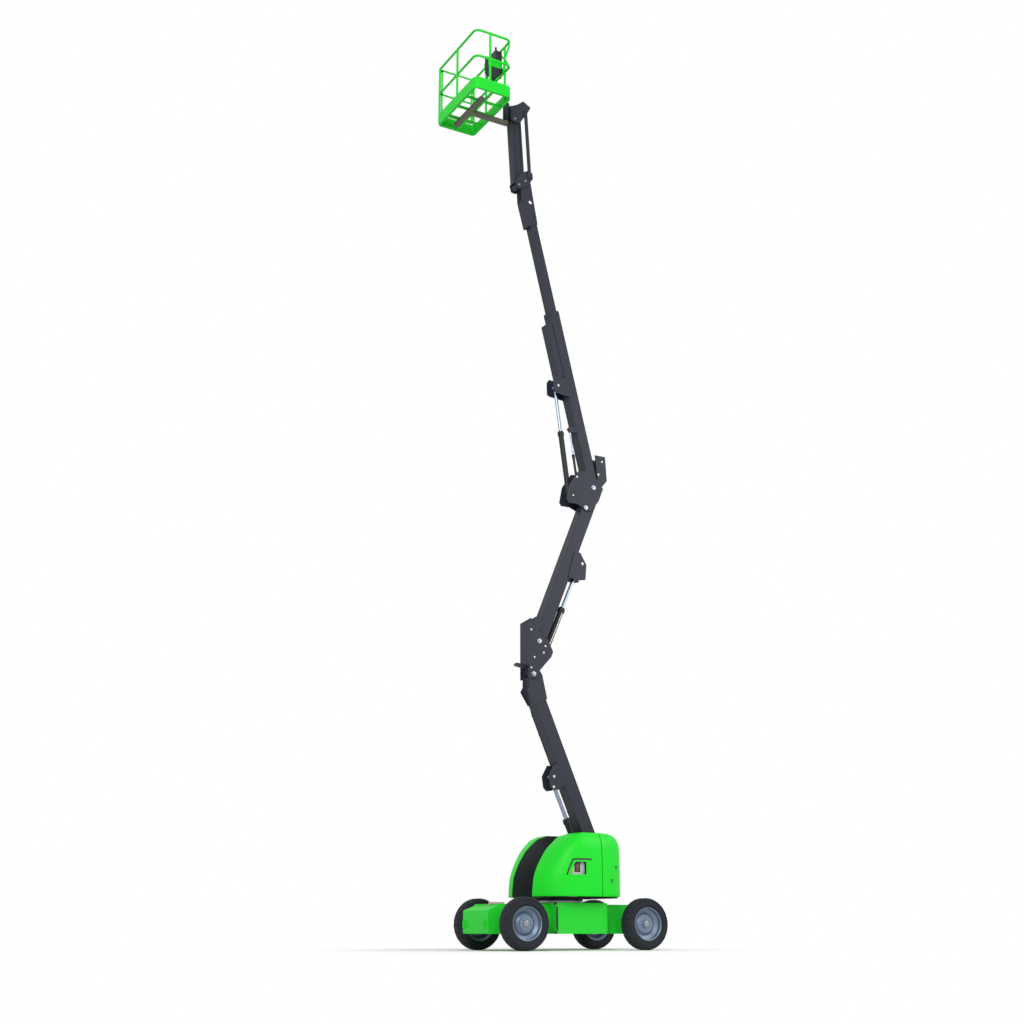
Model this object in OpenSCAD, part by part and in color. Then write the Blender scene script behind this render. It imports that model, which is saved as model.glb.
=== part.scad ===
// Self-propelled articulated boom lift with a narrow chassis, three booms and a jib.
// It is drawn raised, as it works. X points forward, Y to the machine's left, Z up.
// Places along the machine are measured from the middle between the axles.

/* [Chassis] */
// Distance between the axles
wheelbase = 1974; // [1850:2:2100]
// Distance between the left and right tyre centres
track = 1343; // [1300:1:1400]
// Half width of the side boxes of the chassis
side_box_y = 550; // [520:1:556]
// Half width of the frame between the wheels
frame_y = 370; // [330:1:385]
// Underside of the chassis
frame_low = 222; // [200:1:240]
// Top of the chassis side boxes
frame_top = 640; // [620:1:650]
// Front end of the towing beam
beam_front = 1380; // [1360:1:1420]

/* [Wheels] */
// Tyre diameter
tyre_d = 710; // [690:1:720]
// Tyre width
tyre_w = 206; // [190:1:215]
// Diameter of the rim at its flange
rim_d = 462; // [440:1:480]

/* [Turntable] */
// Underside of the hoods
hood_low = 724; // [722:1:740]
// Top of the hoods
hood_top = 1600; // [1560:1:1640]
// Half width of the hoods
hood_y = 740; // [720:1:750]
// Reach of the hoods in front of the chassis centre
hood_front = 650; // [620:1:680]
// Reach of the counterweight behind the chassis centre
hood_rear = 790; // [760:1:820]
// Half width of the channel that the booms fold into
channel_y = 280; // [250:1:300]
// Place of the upright seam between hood and counterweight
seam_x = -250; // [-300:1:-220]
// Thickness of a hood's wall
hood_wall = 12; // [8:1:16]

/* [Booms] */
// Width of the lower and second booms
boom_w = 190; // [170:1:200]
// Depth of the lower and second booms
boom_d = 200; // [180:1:215]
// Width of the main boom
main_w = 196; // [180:1:200]
// Depth of the main boom
main_d = 165; // [150:1:180]
// Width of the telescoping inner boom
inner_w = 136; // [120:1:150]
// Depth of the telescoping inner boom
inner_d = 132; // [115:1:140]
// Thickness of the boom walls
boom_wall = 8; // [6:1:12]
// Thickness of the lug and knuckle plates
plate = 14; // [10:1:18]
// Diameter of the main pins
pin_d = 50; // [40:1:60]

/* [Basket] */
// Width of the basket across the machine
basket_w = 1322; // [1200:2:1400]
// Depth of the basket along the machine
basket_l = 681; // [640:1:720]
// Height of the top rail's axis above the floor
rail_h = 1070; // [1040:1:1100]
// Height of the middle rail's axis above the floor
mid_h = 597; // [560:1:640]
// Diameter of the rail tube
rail_d = 38; // [32:1:44]
// Height of the toe band
toe_h = 200; // [150:1:220]
// Thickness of the toe band
toe_t = 10; // [6:1:14]

/* [Hidden] */
$fn = 48;
hull_fn = 32;

// Paint and finish colours
green = "#28dd38";
slate = "#43464f";
black = "#2b2f31";
rubber = "#35373c";
steel = "#7f8a99";
bright = "#c5ccd6";

// Hinge places in the boom plane, as [x, z]
lower_foot = [-600, 1260];
lower_head = [500, 3900];
second_foot = [400, 4400];
second_head = [-460, 6600];
main_foot = [-610, 6950];
nose_pin = [600, 12030];
jib_foot = [720, 11930];
tie_foot = [530, 12120];
jib_run = [75, 1200];
jib_y = inner_w / 2 + 20;
tie_y = jib_y + plate + 9;
jib_top = jib_foot + jib_run;
tie_top = tie_foot + jib_run;
// Cylinder pins, foot then eye
lower_cyl = [[-500, 950], [154, 2420]];
second_cyl = [[250, 4225], [-385, 5690]];
main_cyl = [[-225, 6766], [18, 8556]];
level_cyl = [[-360, 6800], [-205, 7860]];
level_y = 76;
// Centre lines of the box sections, lower end then upper end
lower_line = [[-600, 1260], [430, 3640]];
second_line = [[370, 4430], [-590, 6770]];
main_line = [[-640, 6930], [75, 9830]];
main_way = (main_line[1] - main_line[0]) / norm(main_line[1] - main_line[0]);
inner_line = [main_line[0] + main_way * 2540, main_line[0] + main_way * 4790];

tyre_r = tyre_d / 2;
axle_z = tyre_r;
rotator_x = 910;
floor_z = 13085;
basket_x = rotator_x + 253 + basket_l / 2;
floor_top = floor_z + 40;
pin_gap = 0.4;
seat = 0.3;
run_gap = 6;
// Middle of the whole machine's length, which the drawing is centred on
mid_x = (basket_x + basket_l / 2 - wheelbase / 2 - tyre_r) / 2;

// Length and direction of a line between two [x, z] points
function span(a, b) = norm(b - a);
function lean(a, b) = atan2(b[0] - a[0], b[1] - a[1]);

// Stands what is drawn along +Z on point a of the boom plane, leaning towards b
module along(a, b) {
    translate([a[0], 0, a[1]]) rotate([0, lean(a, b), 0]) children();
}

// A round bar across the machine at [x, z], centred on y
module cross_pin(p, d, w, y = 0) {
    translate([p[0], y + w / 2, p[1]]) rotate([90, 0, 0]) cylinder(d = d, h = w);
}

// A plate in the boom plane from its [x, z] outline, from y0 to y1
module flat_plate(outline, y0, y1) {
    translate([0, y1, 0]) rotate([90, 0, 0]) linear_extrude(y1 - y0) polygon(outline);
}

// A pair of flat plates outside the half width y
module plate_pair(outline, y) {
    flat_plate(outline, y, y + plate);
    flat_plate(outline, -y - plate, -y);
}

// A hollow box section from a to b, open at both ends
module box_tube(a, b, w, d, wall) {
    along(a, b) difference() {
        translate([-d / 2, -w / 2, 0]) cube([d, w, span(a, b)]);
        translate([wall - d / 2, wall - w / 2, -1])
            cube([d - 2 * wall, w - 2 * wall, span(a, b) + 2]);
    }
}

// Chassis with its side boxes, frame, towing beam and lugs
module chassis() {
    rear_end = -wheelbase / 2 + 60;
    color(green) difference() {
        union() {
            translate([rear_end, -frame_y, frame_low])
                cube([beam_front - 180 - rear_end, 2 * frame_y, 400]);
            translate([-430, -side_box_y, frame_low])
                cube([840, 2 * side_box_y, frame_top - frame_low]);
            flat_plate([[beam_front - 400, frame_low], [beam_front - 12, frame_low],
                [beam_front, frame_low + 16], [beam_front, 528], [beam_front - 14, 542],
                [beam_front - 180, 602], [beam_front - 400, 602]], -frame_y, frame_y);
            for (s = [-1, 1])
                translate([beam_front - 1, s * 300 - 8, 300]) cube([42, 16, 100]);
            for (s = [-1, 1]) translate([-700, s * frame_y - 12, frame_low])
                cube([60, 24, 180]);
        }
        for (s = [-1, 1]) {
            translate([414 - 40, s * side_box_y - 12, frame_low + 40]) cube([30, 24, 330]);
            translate([beam_front + 20, s * 300 + 20, 350]) rotate([90, 0, 0])
                cylinder(d = 26, h = 40);
        }
        translate([wheelbase / 2, 0, axle_z])
            cube([110 + 2 * seat, 2 * frame_y + 2, 90 + 2 * seat], center = true);
        translate([-wheelbase / 2, 0, axle_z]) rotate([90, 0, 0])
            cylinder(d = 120 + 2 * seat, h = 2 * frame_y + 2, center = true);
    }
}

// Front axle beam with its two upright king pin ends
module front_axle() {
    color(black) {
        translate([wheelbase / 2, 0, axle_z]) cube([110, 2 * king_y - 120, 90], center = true);
        for (s = [-1, 1]) for (z = [axle_z + 45, axle_z - 65])
            translate([wheelbase / 2, s * (king_y - 60), z]) difference() {
                union() {
                    translate([-45, -60, 0]) cube([90, 120, 20]);
                    translate([0, s * 60, 0]) cylinder(d = 90, h = 20);
                }
                translate([0, s * 60, -1]) cylinder(d = 30 + 2 * pin_gap, h = 22);
            }
    }
}
king_y = 490;

// Steering knuckle: king pin, block and stub axle, at the left for s = 1
module knuckle(s) {
    color(black) translate([wheelbase / 2, s * king_y, axle_z]) {
        cylinder(d = 30, h = 126, center = true);
        cylinder(d = 84, h = 88, center = true);
        rotate([-90 * s, 0, 0]) cylinder(d = 60, h = stub_end - king_y);
    }
}
stub_end = track / 2 + 10;
module knuckle_left() knuckle(1);
module knuckle_right() knuckle(-1);

// Rear axle with its gear housing and hubs
module rear_axle() {
    color(black) translate([-wheelbase / 2, 0, axle_z]) {
        rotate([90, 0, 0]) cylinder(d = 120, h = 2 * king_y, center = true);
        rotate([90, 0, 0]) cylinder(d = 60, h = 2 * stub_end, center = true);
    }
}

// Tyre profile turned about the axle, with shoulder lugs
module tyre_form(x, s) {
    side = tyre_w / 2;
    color(rubber) translate([x, s * track / 2, axle_z]) rotate([90, 0, 0]) difference() {
        rotate_extrude($fn = 64) polygon([[rim_d / 2, -side + 16], [rim_d / 2 + 16, -side + 2],
            [rim_d / 2 + 60, -side], [tyre_r - 30, -side + 8], [tyre_r - 8, -side + 26],
            [tyre_r, -side + 48], [tyre_r, side - 48], [tyre_r - 8, side - 26],
            [tyre_r - 30, side - 8], [rim_d / 2 + 60, side], [rim_d / 2 + 16, side - 2],
            [rim_d / 2, side - 16]]);
        for (k = [-1, 1]) for (i = [0:23]) rotate(i * 15 + k * 3.75)
            translate([tyre_r - 14, -9, k > 0 ? side - 52 : -side - 8])
                cube([30, 18, 60]);
    }
}
module tyre_front_left() tyre_form(wheelbase / 2, 1);
module tyre_front_right() tyre_form(wheelbase / 2, -1);
module tyre_rear_left() tyre_form(-wheelbase / 2, 1);
module tyre_rear_right() tyre_form(-wheelbase / 2, -1);

// Dished steel rim with its centre disc, bored for the stub axle
module rim_form(x, s, hub) {
    out = tyre_w / 2 - 16;
    r = rim_d / 2 - 0.3;
    color(steel) translate([x, s * track / 2, axle_z]) rotate([-90 * s, 0, 0]) {
        rotate_extrude($fn = 64) polygon([[stub_bore, -20], [150, -20], [r - 34, 12],
            [r - 30, -out + 20], [r - 10, -out], [r, -out], [r, out], [r - 6, out + 8],
            [r - 18, out], [r - 24, 30], [158, 0], [120, hub], [stub_bore, hub]]);
        rotate_extrude($fn = 48) polygon([[0, 12], [stub_bore, 12], [stub_bore + 1, hub],
            [hub > 30 ? 100 : 60, hub], [hub > 30 ? 96 : 56, hub + 14], [0, hub + 14]]);
    }
}
stub_bore = 30.06;
module rim_front_left() rim_form(wheelbase / 2, 1, 34);
module rim_front_right() rim_form(wheelbase / 2, -1, 34);
module rim_rear_left() rim_form(-wheelbase / 2, 1, 26);
module rim_rear_right() rim_form(-wheelbase / 2, -1, 26);

// Bearing ring between chassis and turntable
slew_x = 60;
module slew_ring() {
    color(steel) translate([slew_x, 0, frame_top]) difference() {
        cylinder(d = 760, h = 30);
        translate([0, 0, -1]) cylinder(d = 560, h = 32);
    }
}

// Turntable plate with the two uprights that carry the lower boom and its cylinder
module turntable() {
    plate_low = frame_top + 30 + seat;
    deck = hood_low - seat;
    color(slate) {
        difference() {
            union() {
                translate([slew_x, 0, plate_low]) cylinder(d = 740, h = deck - 18 - plate_low + 1);
                translate([-660, -480, deck - 18]) cube([1160, 960, 18]);
                flat_plate([[-700, deck - 2], [-380, deck - 2], [-430, 1040],
                    [-520, 1330], [-600, 1340], [-680, 1300]],
                    boom_w / 2 + run_gap, boom_w / 2 + run_gap + 20);
                flat_plate([[-700, deck - 2], [-380, deck - 2], [-430, 1040],
                    [-520, 1330], [-600, 1340], [-680, 1300]],
                    -boom_w / 2 - run_gap - 20, -boom_w / 2 - run_gap);
            }
            cross_pin(lower_foot, pin_d + 2 * pin_gap, 400);
        }
        cross_pin(lower_cyl[0], pin_d - 10, boom_w + 2 * run_gap + 2);
    }
}

// Rounded body that the hoods and the counterweight are cut from, smaller by inset
// Each row is [height, front reach, rear reach, half width]
function hood_rows() = [
    [hood_low, hood_front - 10, hood_rear - 24, hood_y - 26],
    [hood_low + 26, hood_front + 4, hood_rear - 4, hood_y - 4],
    [990, hood_front - 24, hood_rear, hood_y],
    [1180, hood_front - 104, hood_rear, hood_y],
    [1360, hood_front - 222, hood_rear, hood_y - 6],
    [hood_top - 140, hood_front - 324, hood_rear - 10, hood_y - 20],
    [hood_top - 50, hood_front - 440, hood_rear - 60, hood_y - 56],
    [hood_top, hood_front - 600, hood_rear - 150, hood_y - 110]];
hood_power = 3;
function outline_point(a, front, rear, half) = let (c = cos(a), s = sin(a))
    [(c > 0 ? front : rear) * sign(c) * pow(abs(c), 2 / hood_power),
     half * sign(s) * pow(abs(s), 2 / hood_power)];
module hood_body(inset) {
    hull() for (row = hood_rows()) {
        z = row[0] == hood_low ? row[0] : row[0] - inset * (row[0] > 1400 ? 1 : 0) - 1;
        translate([0, 0, z]) linear_extrude(1) polygon([for (i = [0:35])
            outline_point(i * 10 + 5, row[1] - inset, row[2] - inset, row[3] - inset)]);
    }
}

// Left hood as a shell with its window, in front of the seam and outside the channel
module hood_shell() {
    color(green) difference() {
        hood_body(0);
        translate([0, 0, -0.5]) hood_body(hood_wall);
        translate([seam_x - 1000, -1000, 0]) cube([1000, 2000, 2000]);
        translate([seam_x - 1000, channel_y + hood_wall + 3 - 2000, 0]) cube([3000, 2000, 2000]);
        flat_plate([[0, 1014], [232, 1014], [198, 1168], [160, 1190], [0, 1190]], 500, 900);
    }
}
module hood_left() hood_shell();
module hood_right() mirror([0, 1, 0]) hood_shell();

// Cast counterweight behind the seam, split by the boom channel
module counterweight() {
    color(green) difference() {
        hood_body(0);
        translate([seam_x - 0.6, -1000, 0]) cube([2000, 2000, 2000]);
        translate([-720, -channel_y - 12, hood_low - 1]) cube([1000, 2 * channel_y + 24, 2000]);
        for (s = [-1, 1]) for (h = [[-690, 1140], [-625, 950]])
            translate([h[0] - 60, s * 470, h[1]]) rotate([0, 90, 0]) rotate([s * -34, 0, 0])
                translate([0, 0, -90]) cylinder(d = 52, h = 100);
    }
}

// Dark moulded walls of the channel between the hoods
module channel_liner() {
    color(black) for (s = [-1, 1]) intersection() {
        hood_body(4);
        translate([seam_x + 4, s > 0 ? channel_y : -channel_y - hood_wall, hood_low - 1])
            cube([1200, hood_wall, 900]);
    }
}

// Ground control box behind the left hood's window
module ground_controls() {
    color("#c8ccd0") translate([-20, 520, 980]) cube([250, 70, 260]);
    color("#c8ccd0") translate([40, 400, hood_low]) cube([120, 122, 512]);
}

// Engine and pump under the right hood, as one plain block
module engine_block() {
    color(black) translate([-180, -560, hood_low]) cube([520, 250, 440]);
}

// Lower boom with its foot, cylinder lugs and head plates
module lower_boom() {
    lug = [[150, 2596], [240, 2430], [215, 2270], [160, 2222], [80, 2235], [-70, 2330], [-20, 2600]];
    head = [[600, 3646], [560, 3722], [558, 3960], [470, 3975], [380, 3955], [342, 3900],
        [260, 3550], [470, 3448]];
    color(slate) difference() {
        union() {
            box_tube(lower_line[0], lower_line[1], boom_w, boom_d, boom_wall);
            cross_pin(lower_foot, 190, boom_w + 4);
            plate_pair(lug, boom_w / 2 - 3);
            plate_pair(head, boom_w / 2 - 3);
        }
        cross_pin(lower_head, pin_d + 2 * pin_gap, boom_w + 60);
    }
    color(steel) {
        cross_pin(lower_foot, pin_d, boom_w + 2 * run_gap + 50);
    }
}

// Upright knuckle between the lower and the second boom
module mid_knuckle() {
    side = [[586, 4690], [566, 4700], [400, 4800], [300, 4520], [250, 4430], [165, 4262], [195, 4180],
        [395, 3960], [440, 3840], [586, 3830]];
    color(slate) difference() {
        union() {
            plate_pair(side, boom_w / 2 + plate + run_gap);
            flat_plate([[540, 4012], [586, 4012], [586, 4690], [540, 4690]],
                -boom_w / 2 - plate - run_gap, boom_w / 2 + plate + run_gap);
            flat_plate([[586, 4040], [735, 4060], [752, 4022], [586, 3990]], -40, 40);
        }
        cross_pin(second_foot, pin_d, 400);
        flat_plate([[420, 4560], [310, 4600], [270, 4440], [350, 4470]], -300, 300);
    }
    color(steel) {
        cross_pin(lower_head, pin_d, boom_w + 4 * plate + 2 * run_gap);
        cross_pin(second_foot, pin_d, boom_w + 4 * plate + 2 * run_gap);
        cross_pin(second_cyl[0], pin_d - 10, boom_w + 3 * plate + 2 * run_gap);
    }
}

// Second boom with its foot, cylinder lugs and head
module second_boom() {
    lug = [[-352, 5866], [-462, 5680], [-440, 5440], [-330, 5420], [-130, 5450], [-240, 5850]];
    color(slate) difference() {
        union() {
            box_tube(second_line[0], second_line[1], boom_w, boom_d, boom_wall);
            cross_pin(second_foot, 180, boom_w);
            cross_pin(second_head, 110, boom_w);
            plate_pair(lug, boom_w / 2 - 3);
        }
        cross_pin(second_foot, pin_d + 2 * pin_gap, boom_w + 60);
        cross_pin(second_head, pin_d + 2 * pin_gap, boom_w + 60);
    }
}

// Elbow plates between the second and the main boom, with the hose box behind
module top_knuckle() {
    side = [[-330, 7180], [-165, 6941], [-115, 6690], [-150, 6640], [-300, 6640], [-420, 6590],
        [-470, 6545], [-560, 6560], [-701, 6740], [-787, 6955], [-700, 7080], [-480, 7200]];
    box = [[-646, 7495], [-835, 7496], [-862, 7099], [-771, 6990], [-690, 7060]];
    color(slate) difference() {
        union() {
            plate_pair(side, main_w / 2 + run_gap);
            plate_pair(box, main_w / 2 + run_gap);
            flat_plate([[-835, 7490], [-862, 7099], [-842, 7099], [-815, 7490]],
                -main_w / 2 - run_gap - 2, main_w / 2 + run_gap + 2);
        }
        cross_pin(main_foot, pin_d, 400);
    }
    color(steel) {
        cross_pin(second_head, pin_d, main_w + 2 * plate + 2 * run_gap + 8);
        cross_pin(main_foot, pin_d, main_w + 2 * plate + 2 * run_gap + 8);
        cross_pin(main_cyl[0], pin_d - 10, main_w + 2 * plate + 2 * run_gap + 8);
        cross_pin(level_cyl[0], 24, main_w + 2 * plate + 2 * run_gap + 8);
    }
}

// Main boom, hollow for the inner boom, with its cylinder bracket
module main_boom() {
    bracket = [[66, 8710], [104, 8650], [100, 8450], [64, 8430], [-220, 8400], [-190, 8700]];
    color(slate) difference() {
        union() {
            box_tube(main_line[0], main_line[1], main_w, main_d, boom_wall);
            wear_pads();
            cross_pin(main_foot, 150, main_w);
            plate_pair(bracket, main_w / 2 - 3);
            for (y = [level_y - 20, level_y + 14])
                flat_plate([[-190, 7900], [-160, 7860], [-200, 7810], [-340, 7830], [-318, 7920]], y, y + 6);
        }
        cross_pin(main_foot, pin_d + 2 * pin_gap, main_w + 60);
    }
}

// Pads at the main boom's mouth that the inner boom slides on
module wear_pads() {
    along(main_line[0], main_line[1]) for (z = [span(main_line[0], main_line[1]) - 90]) difference() {
        translate([1 - main_d / 2, 1 - main_w / 2, z]) cube([main_d - 2, main_w - 2, 90]);
        translate([-inner_d / 2 - seat, -inner_w / 2 - seat, z - 1])
            cube([inner_d + 2 * seat, inner_w + 2 * seat, 92]);
    }
}

// Folded cover under the main boom for hoses
module boom_cover() {
    color(slate) along(main_line[0], main_line[1])
        translate([main_d / 2 + 0.2, -main_w / 2 + 8, 1880]) cube([104, main_w - 16, 900]);
}

// Inner boom that slides in the main boom, with its nose plates
module inner_boom() {
    nose = [[364, 11306], [540, 11231], [655, 11673], [668, 11900], [655, 12060], [600, 12130],
        [508, 12120], [470, 11900]];
    color(slate) difference() {
        union() {
            box_tube(inner_line[0], inner_line[1], inner_w, inner_d, boom_wall);
            plate_pair(nose, inner_w / 2 - 3);
            flat_plate([[522, 11290], [540, 11231], [655, 11673], [637, 11680]], -inner_w / 2, inner_w / 2);
        }
        cross_pin(nose_pin, pin_d - 10 + 2 * pin_gap, 300);
        cross_pin([498, 11677], 62, 40, inner_w / 2 + 4);
        cross_pin([425, 11427], 30, 40, inner_w / 2 + 4);
    }
}

// Levelled base of the jib between the nose plates
module jib_base() {
    side = [[460, 12100], [470, 12200], [560, 12225], [690, 12150],
        [790, 11980], [760, 11870], [680, 11860], [560, 11950]];
    color(slate) difference() {
        plate_pair(side, jib_y);
        cross_pin(nose_pin, pin_d - 10, 400);
        cross_pin(jib_foot, 40, 400);
    }
    color(steel) {
        cross_pin(nose_pin, pin_d - 10, 2 * (jib_y + plate) + 2);
        cross_pin(jib_foot, 40, 2 * (jib_y + plate) + 2);
        for (s = [-1, 1]) cross_pin(tie_foot, 26, 34, s * (tie_y - 7));
    }
}

// Front jib arm, a box with a bored boss at each end
module jib_arm() {
    color(slate) difference() {
        union() {
            box_tube(jib_foot + jib_run * 0.03, jib_top - jib_run * 0.03, 120, 140, 6);
            cross_pin(jib_foot, 100, 120);
            cross_pin(jib_top, 100, 120);
        }
        cross_pin(jib_foot, 40 + 2 * pin_gap, 300);
        cross_pin(jib_top, 40 + 2 * pin_gap, 300);
    }
}

// Rear jib tie, a pair of flat bars outside the arm
module jib_tie() {
    color(slate) for (s = [-1, 1]) difference() {
        union() {
            along(tie_foot, tie_top) translate([-30, s * tie_y - 6, 0])
                cube([60, 12, span(tie_foot, tie_top)]);
            cross_pin(tie_foot, 70, 12, s * tie_y);
            cross_pin(tie_top, 70, 12, s * tie_y);
        }
        cross_pin(tie_foot, 26 + 2 * pin_gap, 60, s * tie_y);
        cross_pin(tie_top, 26 + 2 * pin_gap, 60, s * tie_y);
    }
}

// Jib head with the upright housing of the basket's rotator
module jib_head() {
    side = [[500, 13420], [640, 13500], [760, 13400], [870, 13340],
        [870, 13080], [790, 13060], [700, 13080], [560, 13300]];
    color(slate) difference() {
        union() {
            plate_pair(side, jib_y);
            translate([rotator_x, 0, 13110]) cylinder(d = 110, h = 290);
            translate([rotator_x - 60, -jib_y - 4, 13120]) cube([30, 2 * jib_y + 8, 230]);
        }
        cross_pin(jib_top, 40, 400);
        translate([rotator_x, 0, 13100]) cylinder(d = 60 + 2 * pin_gap, h = 320);
    }
    color(steel) {
        cross_pin(jib_top, 40, 2 * (jib_y + plate) + 2);
        for (s = [-1, 1]) cross_pin(tie_top, 26, 34, s * (tie_y - 7));
    }
}

// Rotator shaft and the beam under the basket floor
module basket_support() {
    color("#5a5e4e") {
        translate([rotator_x, 0, floor_z + 5]) cylinder(d = 60, h = 330);
        translate([rotator_x, 0, floor_z - 55]) cylinder(d = 80, h = 74);
        translate([rotator_x, 0, floor_z + 321]) cylinder(d = 104, h = 16);
        translate([rotator_x, -45, floor_z - 55]) cube([basket_x - rotator_x + 120, 90, 55]);
        translate([basket_x + 60, -460, floor_z - 55]) cube([80, 920, 55]);
    }
}

// Straight tube from a to b
module tube(a, b, d) {
    v = b - a;
    l = norm(v);
    translate(a) rotate([0, acos(v[2] / l), atan2(v[1], v[0])]) cylinder(d = d, h = l, $fn = 20);
}

// Level rail round three sides and the far side's ends, with bent corners at the near side
corner_r = 90;
module rail_ring(z) {
    x0 = basket_x - basket_l / 2 + rail_d / 2;
    x1 = basket_x + basket_l / 2 - rail_d / 2;
    y1 = basket_w / 2 - rail_d / 2;
    tube([x0, -y1, z], [x0, y1 - corner_r, z], rail_d);
    tube([x0 + corner_r, y1, z], [x1 - corner_r, y1, z], rail_d);
    tube([x1, y1 - corner_r, z], [x1, -y1, z], rail_d);
    for (c = [[x0 + corner_r, 90], [x1 - corner_r, 0]])
        translate([c[0], y1 - corner_r, z]) rotate(c[1])
            rotate_extrude(angle = 90) translate([corner_r, 0]) circle(d = rail_d, $fn = 20);
}

// Guard rails, posts, toe band and the loops that carry the controls
module basket_rails() {
    x0 = basket_x - basket_l / 2 + rail_d / 2;
    x1 = basket_x + basket_l / 2 - rail_d / 2;
    y1 = basket_w / 2 - rail_d / 2;
    color(green) {
        rail_ring(floor_z + rail_h);
        rail_ring(floor_z + mid_h);
        for (p = [[x0, -y1], [x1, -y1], [x1, 0], [x0, y1 - 200], [x0, -200], [basket_x + 60, y1]])
            tube([p[0], p[1], floor_z + 39], [p[0], p[1], floor_z + rail_h], rail_d);
        for (z = [floor_z + 320, floor_z + 800]) translate([x0, -y1 - 12, z])
            cube([42 - 15 - seat, 24, 60]);
        difference() {
            toe_form(0, floor_z, toe_h);
            toe_form(toe_t, floor_z - 1, toe_h + 2);
        }
    }
}

// Rounded rectangle of the toe band, smaller by inset
module toe_form(inset, z, h) {
    r = corner_r + rail_d / 2 - inset;
    far = 60 - inset;
    w = basket_w - 2 * inset;
    l = basket_l - 2 * inset;
    translate([basket_x, 0, z]) union() {
        translate([-l / 2, far - w / 2, 0]) cube([l, w - r - far, h]);
        translate([r - l / 2, far - w / 2, 0]) cube([l - 2 * r, w - far, h]);
        translate([far - l / 2, -w / 2, 0]) cube([l - 2 * far, w - r, h]);
        for (s = [-1, 1]) translate([s * (l / 2 - far), far - w / 2, 0]) cylinder(r = far, h = h);
        for (s = [-1, 1]) translate([s * (l / 2 - r), w / 2 - r, 0]) cylinder(r = r, h = h);
    }
}

// Open floor frame with cross members and a closed tread panel
module basket_floor() {
    l = basket_l - 2 * toe_t - 1;
    w = basket_w - 2 * toe_t - 1;
    color(slate) intersection() {
        translate([basket_x - l / 2, -w / 2, floor_z + 0.2]) union() {
            for (x = [0, l / 2 - 15, l - 30]) translate([x, 0, 0]) cube([30, w, 38]);
            for (i = [0:4]) translate([0, i * (w - 30) / 4, 0]) cube([l, 30, 38]);
        }
        toe_form(toe_t + 0.3, floor_z, 60);
    }
}

// Control box on the rear rail
module platform_controls() {
    x0 = basket_x - basket_l / 2 + rail_d + 2;
    color(black) translate([x0, 60, floor_z + 700]) cube([120, 320, 290]);
    color(black) translate([x0 - 34, 60, floor_z + mid_h + rail_d / 2 + seat])
        cube([90, 320, 103 - rail_d / 2]);
}

// Entry gate on the right side of the basket
module basket_gate() {
    x0 = basket_x - basket_l / 2 + rail_d + 8;
    x1 = basket_x + basket_l / 2 - rail_d - 8;
    y = -basket_w / 2 + rail_d / 2;
    d = 30;
    color(green) {
        for (z = [floor_z + rail_h - 10, floor_z + mid_h]) tube([x0 + 15, y, z], [x1 - 15, y, z], d);
        for (x = [x0 + 15, x1 - 15]) tube([x, y, floor_z + toe_h + 20], [x, y, floor_z + rail_h - 10], d);
        tube([x0 + 15, y, floor_z + toe_h + 20], [x1 - 15, y, floor_z + toe_h + 20], d);
    }
}

// Cylinder barrel from its foot pin, with its bored end, and the rod that slides in it
module barrel(pins, d, rod_d, length, foot_d, w) {
    color(black) difference() {
        union() {
            along(pins[0], pins[1]) translate([0, 0, foot_d / 2 + 6])
                cylinder(d = d, h = length - foot_d / 2 - 6);
            along(pins[0], pins[1]) translate([0, 0, length - 60]) cylinder(d = d + 10, h = 60);
            cross_pin(pins[0], foot_d + 34, w);
        }
        along(pins[0], pins[1]) translate([0, 0, 70]) cylinder(d = rod_d + 0.8, h = length);
        cross_pin(pins[0], foot_d + 2 * pin_gap, w + 20);
    }
}
module rod(pins, rod_d, length, inside, eye_d, w) {
    total = span(pins[0], pins[1]);
    color(bright) {
        along(pins[0], pins[1]) translate([0, 0, length - inside])
            cylinder(d = rod_d, h = total - length + inside);
        cross_pin(pins[1], eye_d + 30, w);
        cross_pin(pins[1], eye_d, w + 4);
    }
}
module lower_cylinder() barrel(lower_cyl, 104, 60, 960, pin_d - 10, 90);
module lower_rod() rod(lower_cyl, 60, 960, 420, pin_d - 10, 80);
module second_cylinder() barrel(second_cyl, 96, 50, 812, pin_d - 10, 90);
module second_rod() rod(second_cyl, 50, 812, 260, pin_d - 10, 80);
module main_cylinder() barrel(main_cyl, 84, 50, 1070, pin_d - 10, 80);
module main_rod() rod(main_cyl, 50, 1070, 500, pin_d - 10, 80);
module level_cylinder() translate([0, level_y, 0]) barrel(level_cyl, 40, 24, 660, 24, 24);
module level_rod() translate([0, level_y, 0]) rod(level_cyl, 24, 660, 250, 26, 24);

module placed() translate([-mid_x, 0, 0]) children();
placed() chassis();
placed() front_axle();
placed() rear_axle();
placed() slew_ring();
placed() knuckle_left();
placed() knuckle_right();
placed() tyre_front_left();
placed() tyre_front_right();
placed() tyre_rear_left();
placed() tyre_rear_right();
placed() rim_front_left();
placed() rim_front_right();
placed() rim_rear_left();
placed() rim_rear_right();
placed() turntable();
placed() hood_left();
placed() hood_right();
placed() counterweight();
placed() channel_liner();
placed() ground_controls();
placed() engine_block();
placed() lower_boom();
placed() lower_cylinder();
placed() lower_rod();
placed() mid_knuckle();
placed() second_boom();
placed() second_cylinder();
placed() second_rod();
placed() top_knuckle();
placed() main_boom();
placed() boom_cover();
placed() main_cylinder();
placed() main_rod();
placed() level_cylinder();
placed() level_rod();
placed() inner_boom();
placed() jib_base();
placed() jib_arm();
placed() jib_tie();
placed() jib_head();
placed() basket_support();
placed() basket_rails();
placed() basket_floor();
placed() platform_controls();
placed() basket_gate();
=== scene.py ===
"""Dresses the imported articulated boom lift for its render.

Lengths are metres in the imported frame: X forward, Y to the machine's left, Z up.
"""
import math

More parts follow.
